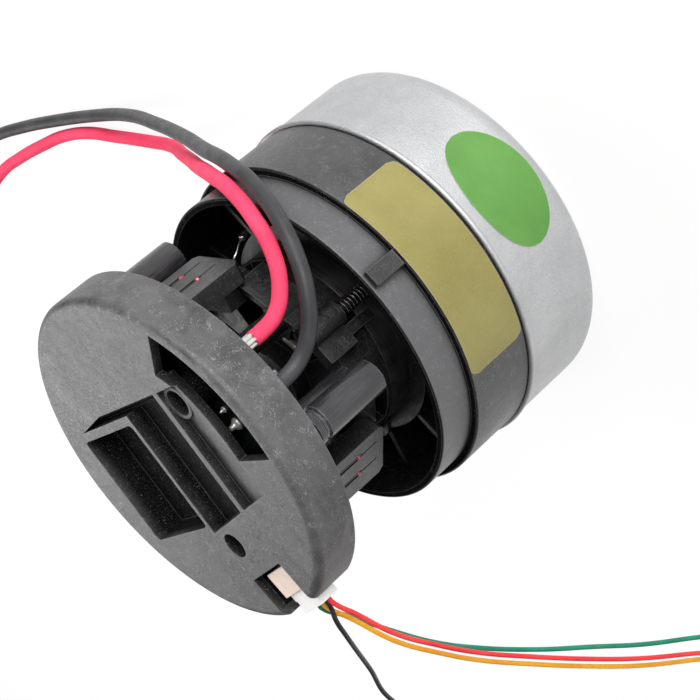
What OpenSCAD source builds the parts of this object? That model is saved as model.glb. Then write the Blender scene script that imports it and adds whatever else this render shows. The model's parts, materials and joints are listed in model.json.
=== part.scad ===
// Brushless vacuum cleaner motor with its controller, standing on its air inlet.
// The axis is Z. The inlet face of the fan cover is at z = 0 and the controller cap is on top.

/* [Fan cover] */
// Outer radius of the drawn aluminium cover
cover_r = 41.9; // [41:0.1:44]
// Height of the cover
cover_h = 26.4; // [25:0.2:29]
// Sheet thickness of the cover
cover_wall = 1; // [0.8:0.1:1.4]
// Radius of the drawn shoulder
cover_fillet = 6; // [4:0.5:8]
// Radius of the air inlet
inlet_r = 16; // [14:0.5:18]
// Height of the turned-in neck round the inlet
inlet_neck = 4.5; // [3.5:0.5:5]
// Radius of the rolled lip at the open end
lip_r = 0.7; // [0.5:0.1:0.9]

/* [Fan] */
// Height of the fan stage, from the inlet face to the top of the diffuser plate
fan_h = 21; // [20.5:0.5:22]
// Number of impeller blades
blade_n = 9; // [7:1:11]
// Thickness of an impeller blade
blade_t = 0.9; // [0.7:0.1:1.2]
// Angle of a blade's inner end to the rim's direction, degrees
blade_in_angle = 25; // [20:1:32]
// Angle of a blade's outer end to the rim's direction, degrees
blade_out_angle = 40; // [35:1:50]
// Blade height at the rim of the impeller
blade_tip_h = 5; // [4:0.5:6]
// Thickness of the impeller's plates
plate_t = 1; // [0.8:0.1:1.4]
// Gap between impeller and diffuser plate
fan_gap = 0.8; // [0.6:0.1:1.2]
// Thickness of the diffuser plate
diffuser_t = 2; // [1.5:0.25:3]
// How far the diffuser plate reaches under its vanes
diffuser_lap = 3.5; // [2.5:0.25:4.5]
// Number of diffuser vanes
vane_n = 13; // [9:1:15]
// Thickness of a diffuser vane
vane_t = 1.1; // [0.8:0.1:1.5]
// Radial length of a diffuser vane
vane_l = 8.2; // [7.6:0.1:9]
// Angle of a vane's inner end to the rim's direction, degrees
vane_in_angle = 20; // [16:1:22]
// Angle of a vane's outer end to the rim's direction, degrees
vane_out_angle = 30; // [28:1:35]
// Radial gap between impeller and vanes
vane_gap = 1.5; // [1:0.25:2.5]

/* [Housing] */
// How far the ring that carries the label stays inside the cover's outline
ring_inset = 0.3; // [0.1:0.05:0.6]
// Height of that ring
ring_h = 17.6; // [16:0.2:20]
// How far the collar above the ring stays inside the cover's outline
collar_inset = 2.1; // [1.9:0.1:2.8]
// Height of the collar
collar_h = 9.4; // [8:0.2:12]
// Wall of the collar
collar_wall = 1.6; // [1.2:0.1:2]
// Width of the raised pad on the collar
pad_w = 3.8; // [3:0.2:5]
// Direction of the pad, degrees
pad_dir = -87.8; // [-95:0.2:-80]
// Outer radius of the motor hub
hub_r = 27; // [26:0.5:29]
// Number of stator vanes between hub and wall
spoke_n = 12; // [7:1:13]
// Thickness of those vanes
spoke_t = 1.2; // [1:0.1:2]
// Floor of the hub
hub_floor = 3; // [2.5:0.25:4]
// Distance of the stator above the fan stage
stator_lift = 13; // [12:0.5:15]

/* [Motor] */
// Outer radius of the stator core
stator_r = 23; // [22:0.25:23.5]
// Height of the stator core
stator_h = 16; // [14:0.5:18]
// Radius of the stator bore
bore_r = 8; // [7.5:0.25:9]
// Width of a stator tooth
tooth_w = 7; // [6:0.5:8]
// Air gap between rotor and stator
air_gap = 0.5; // [0.3:0.1:0.8]
// Thickness of a winding round its tooth
coil_t = 3.4; // [2.5:0.2:3.6]
// Height of a winding end over the core
coil_end = 4; // [3:0.5:5]
// Radius of the shaft
shaft_r = 2.5; // [2:0.25:3]
// Outer radius of both bearings
bearing_r = 6.5; // [6.5:0.25:8]
// Width of both bearings
bearing_w = 5; // [4:0.5:6]

/* [Motor frame] */
// Height of the frame's legs over the stator
leg_h = 7; // [6.5:0.5:8]
// Thickness of the frame's plate
frame_t = 3; // [2.5:0.25:4]
// Distance of the terminal posts' faces from the axis
post_face = 30.5; // [29.5:0.25:31.5]
// Width of a terminal post
post_w = 15; // [13:0.5:17]
// Depth of a terminal post
post_d = 4.6; // [4:0.2:5.5]
// Distance of the frame screws from the axis
frame_screw_ring = 25.4; // [25:0.1:25.6]
// Radius of a frame screw's thread
frame_screw_r = 1.5; // [1.25:0.05:1.6]
// How far the frame's screw bosses and walls reach under its plate
frame_boss_drop = 2.2; // [1.5:0.1:3]
// How far they rise over it
frame_boss_rise = 4; // [3:0.25:5]
// Wall of the frame's screw bosses
frame_boss_wall = 1.35; // [1:0.05:1.6]
// Thickness of the frame's side walls
frame_wall_t = 1.6; // [1.2:0.1:2]
// Height of the posts' lower ends over the frame's plate
post_lift = 1.9; // [1:0.1:3]
// Width of the two slots in a post
slot_w = 1.5; // [1.2:0.1:1.8]

/* [Controller] */
// Gap between the housing's rim and the cap's skirt
cap_gap = 29.8; // [28:0.2:34]
// Thickness of the circuit board
board_t = 1.6; // [1.2:0.1:2]
// Depth of the board inside the cap's skirt
board_inset = 1; // [0.6:0.1:1.4]
// Radius of a capacitor
capacitor_r = 4; // [3.6:0.1:4.1]
// Length of a capacitor
capacitor_h = 20; // [16:0.5:22]
// Length of a capacitor's legs under the board
capacitor_leg = 3; // [2:0.5:4]

/* [Controller cap] */
// Outer radius of the cap
cap_r = 41.25; // [41:0.25:43]
// Height of the cap's skirt
cap_h = 11; // [10.5:0.25:13]
// Wall of the skirt
cap_wall = 2; // [1.6:0.1:2.1]
// Thickness of the cap's plate
cap_t = 2.2; // [1.8:0.1:2.6]
// Radius of the cap's outer edge
cap_edge = 2; // [1.2:0.1:2.4]
// Inner radius of the arc window
window_in = 27.2; // [26.6:0.2:28]
// Outer radius of the arc window
window_out = 38.8; // [38:0.2:39]
// Direction of the window's middle, degrees
window_dir = -82.2; // [-84:0.2:-80]
// Angle of the window, degrees
window_angle = 52.5; // [48:0.5:56]
// Length of the socket
socket_l = 27.3; // [25:0.1:28]
// Width of the socket
socket_w = 25.4; // [24:0.1:26]
// Depth of the socket
socket_d = 7.4; // [6.5:0.1:7.6]
// Turn of the socket, degrees
socket_turn = -10; // [-12:1:-8]
// Depth of the seats of the cap's screws under its face
screw_seat_d = 7; // [6.4:0.1:7.2]
// Depth of the sunk field at the socket
field_d = 4.2; // [3.5:0.1:4.4]
// Depth of the sunk field at the rib
field_rib_d = 2.3; // [2:0.1:3.4]
// Thickness of the rib across the field
rib_t = 1.8; // [1.2:0.1:2.4]
// Distance of the cap's screws from the axis
cap_screw_ring = 21.8; // [21.4:0.1:22.2]
// Radius of the sunk hole for a screw head
head_hole_r = 3.1; // [3:0.05:3.4]
// Radius of a cap screw's thread
cap_screw_r = 1.3; // [1:0.05:1.5]

/* [Connector] */
// Width of the board header
header_w = 9.9; // [9.5:0.1:10.5]
// Height of the board header
header_h = 6.7; // [6:0.1:7]
// Depth of the board header
header_l = 6.3; // [5.5:0.1:7]
// Wall of the board header
header_wall = 0.8; // [0.6:0.05:1]
// Pitch of the contacts
pin_pitch = 2; // [1.8:0.05:2.1]
// Height of the plug
plug_h = 4.7; // [4.4:0.1:4.9]
// Height of the contacts over the board
contact_lift = 2.9; // [2.6:0.1:3.2]
// How far the plug stands out of the header
plug_out = 5.2; // [4.5:0.1:6]

/* [Leads] */
// Diameter of the supply leads
supply_d = 3.5; // [3:0.1:3.6]
// Diameter of the signal leads
signal_d = 1.1; // [0.9:0.05:1.2]

/* [Clearances] */
// Clearance of parts that slide together by hand
fit = 0.1; // [0.05:0.01:0.2]
// Running clearance between balls and races
ball_gap = 0.02; // [0.01:0.005:0.05]

/* [Hidden] */
$fn = 96;
eps = 0.02;
cover_in = cover_r - cover_wall;
ring_z = cover_h;
step_z = ring_z + ring_h;
rim_z = step_z + collar_h;
skirt_z = rim_z + cap_gap;
cap_z = skirt_z + cap_h;
plate_z = cap_z - cap_t;
spigot_r = cover_in - fit;
ring_r = cover_r - ring_inset;
collar_r = cover_r - collar_inset;
passage_r = collar_r - collar_wall;
vane_in = spigot_r - fit - vane_l;
impeller_r = vane_in - vane_gap;
diffuser_r = vane_in + diffuser_lap;
hub_top = fan_h + hub_floor;
stator_z = fan_h + stator_lift;
stator_top = stator_z + stator_h;
frame_z = stator_top + leg_h;
frame_top = frame_z + frame_t;
board_z = skirt_z + board_inset;
board_top = board_z + board_t;
board_r = cap_r - cap_wall - 0.6;
magnet_r = bore_r - air_gap;
sleeve_r = shaft_r + 1.1;
tube_wall = 2;
front_bearing_z = hub_top;
rear_bearing_z = frame_z + 1;
tube_top = rear_bearing_z + bearing_w + 1.5;
ledge_w = 2.5;
leg_dirs = [-87, 33, 153];
post_dirs = [-150, -30, 90];
cap_screw_dirs = [172.3, -67.7];
boss_r = frame_screw_r + 2.1;
frame_screw_grip = 10;
cap_screw_grip = 6;
hole_spare = 4;
frame_boss_r = frame_screw_r + frame_boss_wall;
frame_boss_top = frame_top + frame_boss_rise;
bracket_w = post_w - 5;
yoke = 4.2;
yoke_in = stator_r - yoke;

// A ring with a rectangular section
module ring(outer, inner, z, h) {
    translate([0, 0, z]) difference() {
        cylinder(r = outer, h = h);
        translate([0, 0, -1]) cylinder(r = inner, h = h + 2);
    }
}

// Places its children at a distance from the axis in each of the given directions
module at(dirs, distance, z = 0) {
    for (dir = dirs) rotate(dir) translate([distance, 0, z]) children();
}

// Drawn cup with a turned-in inlet neck and a rolled lip
module fan_cover() {
    neck_bend = 2.5;
    color("silver") rotate_extrude() {
        // bottom, from the neck to the shoulder
        translate([inlet_r + neck_bend + cover_wall, 0])
            square([cover_r - cover_fillet - inlet_r - neck_bend - cover_wall, cover_wall]);
        // shoulder
        translate([cover_r - cover_fillet, cover_fillet]) intersection() {
            difference() {
                circle(r = cover_fillet);
                circle(r = cover_fillet - cover_wall);
            }
            translate([0, -cover_fillet]) square(cover_fillet);
        }
        // side wall
        translate([cover_in, cover_fillet]) square([cover_wall, cover_h - cover_fillet - lip_r]);
        // rolled lip
        translate([cover_r - lip_r / 4, cover_h - lip_r]) circle(r = lip_r, $fn = 24);
        // bend into the neck and the neck itself
        translate([inlet_r + neck_bend + cover_wall, neck_bend + cover_wall]) intersection() {
            difference() {
                circle(r = neck_bend + cover_wall);
                circle(r = neck_bend);
            }
            translate([-neck_bend - cover_wall, -neck_bend - cover_wall])
                square(neck_bend + cover_wall);
        }
        translate([inlet_r, neck_bend + cover_wall])
            square([cover_wall, inlet_neck - neck_bend - cover_wall]);
    }
}

impeller_top = fan_h - diffuser_t - fan_gap;
back_z = impeller_top - plate_t;
tip_z = back_z - blade_tip_h;
eye_z = inlet_neck + 0.6;
hub_nose_z = eye_z + 2.4;
hub_nose_r = 5.5;

function arc_radius(r1, a1, r2, a2) = (r2 * r2 - r1 * r1) / (2 * (r2 * cos(a2) - r1 * cos(a1)));
function arc_centre(r, a, arc) = sqrt(r * r + arc * arc - 2 * r * arc * cos(a));

// Blade from above: an arc that leaves radius r1 at angle a1 and reaches r2 at angle a2
module arc_blade(r1, a1, r2, a2, t) {
    arc = arc_radius(r1, a1, r2, a2);
    intersection() {
        translate([0, arc_centre(r1, a1, arc)]) difference() {
            circle(r = arc + t / 2);
            circle(r = arc - t / 2);
        }
        difference() {
            circle(r = r2);
            circle(r = r1);
        }
        translate([0, -2 * r2]) square(4 * r2);
    }
}

hub_arc = back_z - hub_nose_z;

// Section of the impeller's hub and back plate
module hub_section() {
    translate([0, back_z]) square([impeller_r, plate_t]);
    translate([0, hub_nose_z]) square([hub_nose_r, back_z - hub_nose_z + plate_t]);
    difference() {
        translate([0, hub_nose_z]) square([hub_nose_r + hub_arc, hub_arc + plate_t / 2]);
        translate([hub_nose_r + hub_arc, hub_nose_z]) circle(r = hub_arc);
    }
}

// Curved hub and back plate of the impeller
module impeller() {
    color("whitesmoke") difference() {
        rotate_extrude() hub_section();
        translate([0, 0, -1]) cylinder(r = shaft_r, h = impeller_top + 2);
    }
}

// Blades between the impeller's plates
module impeller_blades() {
    color("gainsboro") intersection() {
        rotate_extrude() difference() {
            polygon([[hub_nose_r, back_z], [hub_nose_r, eye_z + plate_t], [inlet_r, eye_z + plate_t],
                [impeller_r, tip_z], [impeller_r, back_z]]);
            hub_section();
        }
        for (i = [0 : blade_n - 1]) rotate(i * 360 / blade_n)
            translate([0, 0, eye_z]) linear_extrude(height = impeller_top - eye_z)
                arc_blade(hub_nose_r + 3, blade_in_angle, impeller_r - 0.3, blade_out_angle, blade_t);
    }
}

// Front plate of the impeller with its eye
module impeller_shroud() {
    color("whitesmoke") rotate_extrude() polygon([[inlet_r, eye_z], [inlet_r + 1, eye_z],
        [impeller_r, tip_z - plate_t], [impeller_r, tip_z], [inlet_r, eye_z + plate_t]]);
}

nut_h = 3;

// Flanged hexagon nut under the impeller
module impeller_nut() {
    color("dimgray") difference() {
        union() {
            translate([0, 0, hub_nose_z - 0.8]) cylinder(r = shaft_r + 2.3, h = 0.8);
            translate([0, 0, hub_nose_z - nut_h]) cylinder(r = shaft_r + 1.9, h = nut_h - 0.8, $fn = 6);
        }
        translate([0, 0, hub_nose_z - nut_h - 1]) cylinder(r = shaft_r, h = nut_h + 2);
    }
}

// Sleeve on the shaft between impeller and front bearing
module spacer_sleeve() {
    color("silver") ring(sleeve_r, shaft_r, impeller_top, front_bearing_z - impeller_top);
}

// Plate behind the impeller
module diffuser() {
    color([0.16, 0.16, 0.17]) ring(diffuser_r, sleeve_r + 1, fan_h - diffuser_t, diffuser_t);
}

// Curved vanes round the impeller, under and beside the diffuser plate
module diffuser_vanes() {
    vane_z = cover_fillet + cover_wall;
    color([0.16, 0.16, 0.17]) difference() {
        for (i = [0 : vane_n - 1]) rotate((i + 0.3) * 360 / vane_n)
            translate([0, 0, vane_z]) linear_extrude(height = fan_h - fit / 2 - vane_z)
                arc_blade(vane_in, vane_in_angle, spigot_r - fit, vane_out_angle, vane_t);
        translate([0, 0, fan_h - diffuser_t]) cylinder(r = diffuser_r, h = diffuser_t + 1);
    }
}

tube_r = bearing_r + tube_wall;
seat_lip = 1.5;

// Ring-shaped shell: spigot, label ring, step and collar with the raised pad
module housing() {
    edge = 0.4;
    color([0.13, 0.13, 0.14]) {
        rotate_extrude() polygon([[passage_r, fan_h], [spigot_r, fan_h], [spigot_r, ring_z],
            [ring_r, ring_z], [ring_r, step_z - edge], [ring_r - edge, step_z],
            [collar_r, step_z], [collar_r, rim_z - edge], [collar_r - edge, rim_z],
            [passage_r, rim_z]]);
        intersection() {
            rotate(pad_dir) translate([collar_r - 1, -pad_w / 2, step_z - 1])
                cube([5, pad_w, collar_h - 2 * edge + 1]);
            cylinder(r = ring_r - 0.05, h = cap_z);
        }
    }
}

// Stator vanes that carry the hub inside the shell
module stator_vanes() {
    color([0.13, 0.13, 0.14]) difference() {
        for (i = [0 : spoke_n - 1]) rotate(i * 360 / spoke_n + leg_dirs[0])
            translate([hub_r, -spoke_t / 2, fan_h + 0.5])
                cube([passage_r - fit / 2 - hub_r, spoke_t, step_z - 2 - fan_h]);
        at(leg_dirs, frame_screw_ring, fan_h) cylinder(r = boss_r, h = cap_z);
    }
}

// Hub: floor, bearing tube, stator ledge and wall, and the bosses of the frame screws
module motor_hub() {
    boss_rise = 0.6;
    color([0.13, 0.13, 0.14]) difference() {
        union() {
            rotate_extrude() polygon([[bearing_r - seat_lip, fan_h], [hub_r, fan_h], [hub_r, step_z],
                [stator_r + fit, step_z], [stator_r + fit, stator_z], [stator_r - ledge_w, stator_z],
                [stator_r - ledge_w, hub_top], [tube_r, hub_top], [tube_r, hub_top + bearing_w],
                [bearing_r, hub_top + bearing_w], [bearing_r, hub_top],
                [bearing_r - seat_lip, hub_top]]);
            at(leg_dirs, frame_screw_ring, hub_top - 1) difference() {
                cylinder(r = boss_r, h = step_z + boss_rise - hub_top + 1);
                translate([-frame_screw_ring, 0, -1]) cylinder(r = stator_r + 1, h = step_z);
            }
        }
        at(leg_dirs, frame_screw_ring, step_z - frame_screw_grip - hole_spare)
            cylinder(r = frame_screw_r, h = frame_screw_grip + hole_spare + boss_rise + 1);
    }
}

race_t = 1.1;

// Outer race with its two shields
module bearing_outer(z) {
    shield_t = 0.3;
    color("lightsteelblue") {
        ring(bearing_r, bearing_r - race_t, z, bearing_w);
        for (low = [z + 0.2, z + bearing_w - 0.2 - shield_t])
            ring(bearing_r - race_t + eps, shaft_r + race_t + 0.15, low, shield_t);
    }
}

// Inner race, turning with the shaft
module bearing_inner(z) {
    color("silver") ring(shaft_r + race_t, shaft_r, z, bearing_w);
}

// Seven balls joined by their cage
module bearing_balls(z) {
    race_in = shaft_r + race_t;
    race_out = bearing_r - race_t;
    ball_r = (race_out - race_in) / 2 - ball_gap;
    mid = (race_out + race_in) / 2;
    color("gainsboro") {
        translate([0, 0, z + bearing_w / 2]) {
            for (i = [0 : 6]) rotate(i * 360 / 7) translate([mid, 0, 0]) sphere(r = ball_r, $fn = 32);
            ring(mid + 0.2, mid - 0.2, -0.4, 0.8);
        }
    }
}

// Laminated core with three teeth
module stator_core() {
    shoe_h = 1.6;
    shoe_angle = 53;
    color([0.45, 0.46, 0.48]) translate([0, 0, stator_z]) linear_extrude(height = stator_h)
        difference() {
            union() {
                difference() {
                    circle(r = stator_r);
                    circle(r = yoke_in);
                }
                for (dir = post_dirs) rotate(dir) {
                    translate([bore_r, -tooth_w / 2]) square([stator_r - bore_r - yoke / 2, tooth_w]);
                    intersection() {
                        circle(r = bore_r + shoe_h);
                        union() for (turn = [-shoe_angle, shoe_angle - 90]) rotate(turn) square(bore_r + 4);
                    }
                }
            }
            circle(r = bore_r);
        }
}

// Moulded end insulation of the core: a ring with three tooth caps
module insulator(z, h) {
    color([0.14, 0.14, 0.15]) translate([0, 0, z]) linear_extrude(height = h) {
        difference() {
            circle(r = stator_r - ledge_w - fit);
            circle(r = yoke_in);
        }
        for (dir = post_dirs) rotate(dir) translate([bore_r + 1, -tooth_w / 2 + 0.3])
            square([yoke_in - bore_r - 0.5, tooth_w - 0.6]);
    }
}

insulator_t = 1;

module lower_insulator() insulator(stator_z - insulator_t, insulator_t);
module upper_insulator() insulator(stator_top, insulator_t);

// Winding round one tooth: a thick rectangular loop with rounded corners
module coil(dir) {
    inner_w = tooth_w + 0.2;
    inner_h = stator_h + 2 * insulator_t + 0.2;
    from = bore_r + 2.6;
    depth = sqrt(pow(yoke_in, 2) - pow(inner_w / 2 + coil_t, 2)) - fit - from;
    color([0.62, 0.26, 0.14]) rotate(dir) translate([from, 0, stator_z + stator_h / 2])
        rotate([90, 0, 90]) linear_extrude(height = depth) difference() {
            union() {
                square([inner_w + 2 * coil_t, inner_h], center = true);
                square([inner_w, inner_h + 2 * coil_end], center = true);
                for (x = [-1, 1], y = [-1, 1]) translate([x * inner_w / 2, y * inner_h / 2])
                    intersection() {
                        scale([1, coil_end / coil_t]) circle(r = coil_t, $fn = 32);
                        translate([x > 0 ? 0 : -coil_t, y > 0 ? 0 : -coil_end])
                            square([coil_t, coil_end]);
                    }
            }
            square([inner_w, inner_h], center = true);
        }
}

shaft_low = hub_nose_z - nut_h - 1.2;
shaft_high = rear_bearing_z + bearing_w + 2.5;

// Ground shaft with a chamfer at both ends
module shaft() {
    chamfer = 0.5;
    color("silver") translate([0, 0, shaft_low]) rotate_extrude()
        polygon([[0, 0], [shaft_r - chamfer, 0], [shaft_r, chamfer],
            [shaft_r, shaft_high - shaft_low - chamfer],
            [shaft_r - chamfer, shaft_high - shaft_low], [0, shaft_high - shaft_low]]);
}

module rotor_magnet() {
    color([0.35, 0.35, 0.37]) ring(magnet_r, shaft_r, stator_z, stator_h);
}

balance_h = 3;

// Brass ring on the rotor with two drilled balance holes
module balance_ring(z) {
    color("goldenrod") difference() {
        ring(magnet_r - 0.6, shaft_r, z, balance_h);
        at([20, 75], magnet_r - 2.4, z + 1) cylinder(r = 0.8, h = balance_h, $fn = 24);
    }
}

module lower_balance_ring() balance_ring(stator_z - balance_h);
module upper_balance_ring() balance_ring(stator_top);

post_z = frame_top + post_lift;
post_low = -post_w / 2 + 0.4;
slot_places = [-1.4, 4];
slot_z = post_z + 7;

// Terminal posts: blocks with a flat face, two slots for the winding ends and a bracket
module terminal_posts() {
    slot_d = 2.2;
    slit_w = 0.5;
    color([0.15, 0.15, 0.16]) at(post_dirs, 0) difference() {
        union() {
            translate([post_face - post_d, post_low, post_z]) cube([post_d, post_w, board_z - post_z]);
            translate([stator_r - 2, -bracket_w / 2, frame_top])
                cube([hub_r - stator_r + 2, bracket_w, post_z - frame_top + 6]);
        }
        for (y = slot_places) {
            translate([post_face - slot_d, y - slot_w / 2, slot_z]) cube([slot_d + 1, slot_w, board_z]);
            translate([post_face - slit_w, y - slit_w / 2, post_z + 2]) cube([2, slit_w, slot_z - post_z]);
        }
        // chamfered lower corners
        for (y = [post_low, post_low + post_w]) translate([post_face, y, post_z])
            rotate([45, 0, 0]) cube([2 * post_d, 1.6, 1.6], center = true);
    }
}

// Ends of the windings: a wire up each slot of the posts, with its bend at the slot's end
module winding_ends() {
    bend_r = slot_w / 2 - 0.05;
    color([0.75, 0.2, 0.2]) at(post_dirs, post_face - bend_r) for (y = slot_places) {
        translate([0, y, slot_z + bend_r])
            cylinder(r = slot_w / 2 - 0.15, h = board_z - slot_z - bend_r, $fn = 24);
        translate([bend_r / 2, y, slot_z + bend_r + 0.05]) sphere(r = bend_r, $fn = 24);
    }
}

function polar(r, dir) = r * [cos(dir), sin(dir)];

// Side wall of the frame, from a screw boss to the bracket of the next post
module side_wall(leg_dir, post_dir) {
    from = polar(frame_screw_ring, leg_dir);
    to = polar(post_face - post_d - fit, post_dir) + polar(bracket_w / 2 + fit, post_dir - 90);
    run = to - from;
    inward = frame_wall_t * [-run[1], run[0]] / norm(run);
    linear_extrude(height = frame_boss_drop + frame_t + frame_boss_rise - 0.8) difference() {
        polygon([from, to, to + inward, from + inward]);
        rotate(post_dir) translate([0, -bracket_w / 2 - fit]) square([post_face, bracket_w + 2 * fit]);
    }
}

// Cage over the stator: clamping ring, plate with air holes, bearing seat, bosses and walls
module motor_frame() {
    block_w = 4.8;
    bar_w = 2.8;
    low_z = frame_z - frame_boss_drop;
    color([0.17, 0.17, 0.18]) difference() {
        union() {
            // ring that clamps the stator, plate and bearing tube
            rotate_extrude() polygon([[stator_r - ledge_w + fit, stator_top], [stator_r, stator_top],
                [stator_r, frame_top], [tube_r, frame_top],
                [tube_r, tube_top], [bearing_r, tube_top], [bearing_r, rear_bearing_z],
                [bearing_r - seat_lip, rear_bearing_z], [bearing_r - seat_lip, frame_z],
                [stator_r - ledge_w + fit, frame_z]]);
            at(leg_dirs, frame_screw_ring, low_z) cylinder(r = frame_boss_r, h = frame_boss_top - low_z);
            at(cap_screw_dirs, cap_screw_ring, frame_z + 1)
                cylinder(r = cap_screw_r + 1.5, h = board_z - frame_z - 1);
            for (i = [0 : 2]) translate([0, 0, low_z + 0.6]) side_wall(leg_dirs[i], post_dirs[(i + 1) % 3]);
            // block and bar beside each boss
            at(leg_dirs, stator_r - 1) {
                translate([0, -frame_boss_r - block_w + 0.2, low_z + 0.6])
                    cube([frame_screw_ring - stator_r + 0.8, block_w, frame_boss_top - low_z - 1.1]);
                translate([1 + fit, -frame_boss_r - bar_w, stator_top - 2])
                    cube([frame_screw_ring - stator_r - 0.4, bar_w - 0.3, low_z - stator_top + 3]);
            }
        }
        // air holes in the plate
        for (dir = leg_dirs) rotate(dir + 60) rotate_extrude_window(tube_r + 2.5, stator_r - 3, 34);
        for (dir = leg_dirs) rotate(dir) rotate_extrude_window(tube_r + 2.5, stator_r - 6, 30);
        // side windows in the clamping ring
        at(post_dirs, stator_r - 4) translate([0, -6, stator_top + 1.5]) cube([8, 12, leg_h - 3]);
        at(leg_dirs, frame_screw_ring, stator_top - 3)
            cylinder(r = frame_screw_r + fit, h = frame_boss_top - stator_top + 4);
        at(cap_screw_dirs, cap_screw_ring, board_z - cap_screw_grip - hole_spare)
            cylinder(r = cap_screw_r, h = cap_screw_grip + hole_spare + 1);
    }
}

// Arc-shaped cutter through the frame's plate
module rotate_extrude_window(inner, outer, angle) {
    translate([0, 0, frame_z - 0.5]) rotate(-angle / 2) rotate_extrude(angle = angle)
        translate([inner, 0]) square([outer - inner, frame_t + 1]);
}

washer_t = 0.4;

// Wave washer that preloads the rear bearing, drawn at its working height
module preload_washer() {
    color("silver") ring(bearing_r - 0.2, bearing_r - 1.8, rear_bearing_z + bearing_w, washer_t);
}

// Pan-head screw along Z with its head on top at z
module pan_screw(z, shank_r, shank_l, head_r) {
    head_h = head_r * 2 / 3;
    slot = head_r / 4;
    translate([0, 0, z]) difference() {
        union() {
            translate([0, 0, -shank_l]) cylinder(r = shank_r, h = shank_l + eps);
            cylinder(r = head_r, h = head_h * 0.6);
            translate([0, 0, head_h * 0.6 - eps])
                cylinder(r1 = head_r, r2 = head_r * 0.72, h = head_h * 0.4);
        }
        for (turn = [0, 90]) rotate(turn) translate([-slot / 2, -head_r * 0.55, head_h * 0.45])
            cube([slot, head_r * 1.1, head_h]);
    }
}

// Three long screws that clamp frame and stator to the housing
module frame_screws() {
    color([0.1, 0.1, 0.1]) at(leg_dirs, frame_screw_ring) pan_screw(frame_boss_top, frame_screw_r,
        frame_boss_top - step_z + frame_screw_grip, frame_screw_r * 1.8);
}

header_top = board_top + header_h;
header_inset = 1.45;
header_in = board_r - header_inset - header_l;
switch_ring = 15;
connector_y = -0.5;
chip_h = 1.2;

// Round board with holes for the screws
module circuit_board() {
    color([0.05, 0.07, 0.06]) difference() {
        translate([0, 0, board_z]) cylinder(r = board_r, h = board_t);
        at(cap_screw_dirs, cap_screw_ring, board_z - 1) cylinder(r = 1.7, h = board_t + 2);
    }
}

// Six power transistors under the board
module power_switches() {
    switch_w = 5;
    color([0.12, 0.12, 0.13]) for (i = [0 : 5]) rotate(20 + i * 22)
        translate([switch_ring, -switch_w / 2, board_z - chip_h]) cube([switch_w + 1, switch_w, chip_h]);
}

// Controller chip and gate driver under the board
module control_chips() {
    color([0.1, 0.1, 0.1]) {
        translate([-16, -9, board_z - chip_h]) cube([7, 7, chip_h]);
        translate([-4, 1, board_z - chip_h]) cube([5, 4, chip_h]);
    }
}

// Direction, distance inside the board's edge and turn of each capacitor
CAPACITORS = [[0, 4.85, 90], [-112.8, 4.6, 132.8], [-116.5, 13.3, 136.5]];

// Electrolytic capacitor hanging from the board: crimped can, rubber seal and two legs
module capacitor(i) {
    place = CAPACITORS[i];
    top = board_z - capacitor_leg;
    color([0.12, 0.12, 0.13]) rotate(place[0]) translate([board_r - place[1], 0, 0]) rotate(place[2]) {
        translate([0, 0, top - capacitor_h]) rotate_extrude() polygon([[0, 0], [capacitor_r - 0.7, 0],
            [capacitor_r - 0.5, 0.1], [capacitor_r, 0.6], [capacitor_r, capacitor_h - 3.2],
            [capacitor_r - 0.45, capacitor_h - 2.6], [capacitor_r - 0.45, capacitor_h - 2.2],
            [capacitor_r, capacitor_h - 1.6], [capacitor_r, capacitor_h - 0.3],
            [capacitor_r - 0.5, capacitor_h], [0, capacitor_h]]);
        for (side = [-1, 1]) translate([side * 1.75, 0, top - 0.5])
            cylinder(r = 0.3, h = capacitor_leg + 0.5, $fn = 16);
    }
}

signal_z = board_top + contact_lift;
plug_z = board_top + header_wall + fit;

// Side-entry header: a box open towards the rim
module board_header() {
    color("bisque") translate([-header_in - header_l, connector_y - header_w / 2, board_top])
        difference() {
            cube([header_l, header_w, header_h]);
            translate([-1, header_wall, header_wall]) cube([header_l + 1 - header_wall,
                header_w - 2 * header_wall, header_h - 2 * header_wall]);
        }
}

// Four square pins, from the header's back wall
module header_pins() {
    color("silver") for (i = [0 : 3]) translate([-header_in - header_l + 0.6,
        connector_y + (i - 1.5) * pin_pitch - 0.25, signal_z - 0.25])
        cube([header_l - header_wall - 0.6, 0.5, 0.5]);
}

plug_nose_w = header_w - 2 * header_wall - 2 * fit;
plug_tip = header_in + header_l + plug_out;
contact_hole = 1.4;

// Plug body: a nose inside the header, a wider grip outside it and four contact holes
module signal_plug() {
    nose_l = header_l - header_wall - 0.5;
    color("white") translate([-plug_tip, connector_y, plug_z]) difference() {
        union() {
            translate([0, -plug_nose_w / 2, 0]) cube([plug_out + nose_l, plug_nose_w, plug_h]);
            translate([0, -header_w / 2, 0]) cube([plug_out - fit, header_w, plug_h]);
        }
        for (i = [0 : 3]) translate([-1, (i - 1.5) * pin_pitch - contact_hole / 2,
            signal_z - plug_z - contact_hole / 2])
            cube([plug_out + nose_l + 2, contact_hole, contact_hole]);
        // latch notches in the grip
        for (side = [-1, 1]) translate([plug_out / 2 - 0.6, side * header_w / 2 - 0.5, -1])
            cube([1.2, 1, plug_h + 2]);
    }
}

// A crimped contact that takes a pin in its front end
module contact(length, pin_hole) {
    size = contact_hole - 2 * fit;
    difference() {
        translate([0, -size / 2, -size / 2]) cube([length, size, size]);
        translate([length - pin_hole, -0.3, -0.3]) cube([pin_hole + 1, 0.6, 0.6]);
    }
}

// Four contacts inside the plug
module plug_contacts() {
    color("silver") for (i = [0 : 3]) translate([-plug_tip, connector_y + (i - 1.5) * pin_pitch,
        signal_z]) contact(plug_out + header_l - 3, header_l - 2);
}

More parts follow.
